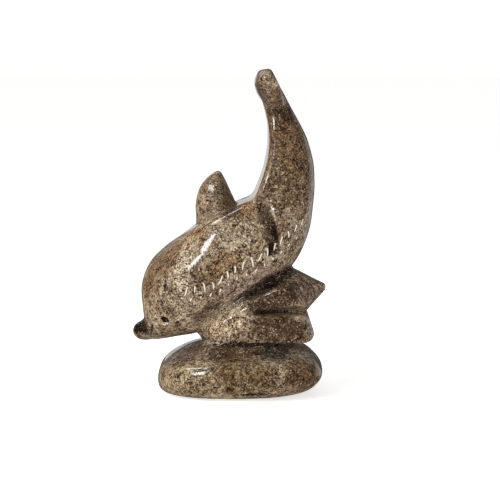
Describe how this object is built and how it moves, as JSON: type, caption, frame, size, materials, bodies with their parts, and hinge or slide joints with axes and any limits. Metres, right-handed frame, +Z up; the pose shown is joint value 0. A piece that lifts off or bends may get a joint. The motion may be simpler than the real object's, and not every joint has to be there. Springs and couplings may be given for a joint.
{
  "type": "stone dolphin sculpture",
  "caption": "Carved stone dolphin diving over a curling wave, on a rounded pebble base, cut from one block as a tabletop ornament.",
  "frame": {"origin": "middle of the base's length and depth, on the flat underside", "axes": "+Z up, from the base to the tail; -X is where the beak points; -Y and +Y are the two flanks"},
  "size_m": [0.0888, 0.048, 0.1484],
  "materials": {
    "fossil_stone": "polished brown and cream speckled fossil stone"
  },
  "bodies": {
    "root": {"dolphin_carving": "fossil_stone"}
  },
  "joints": []
}
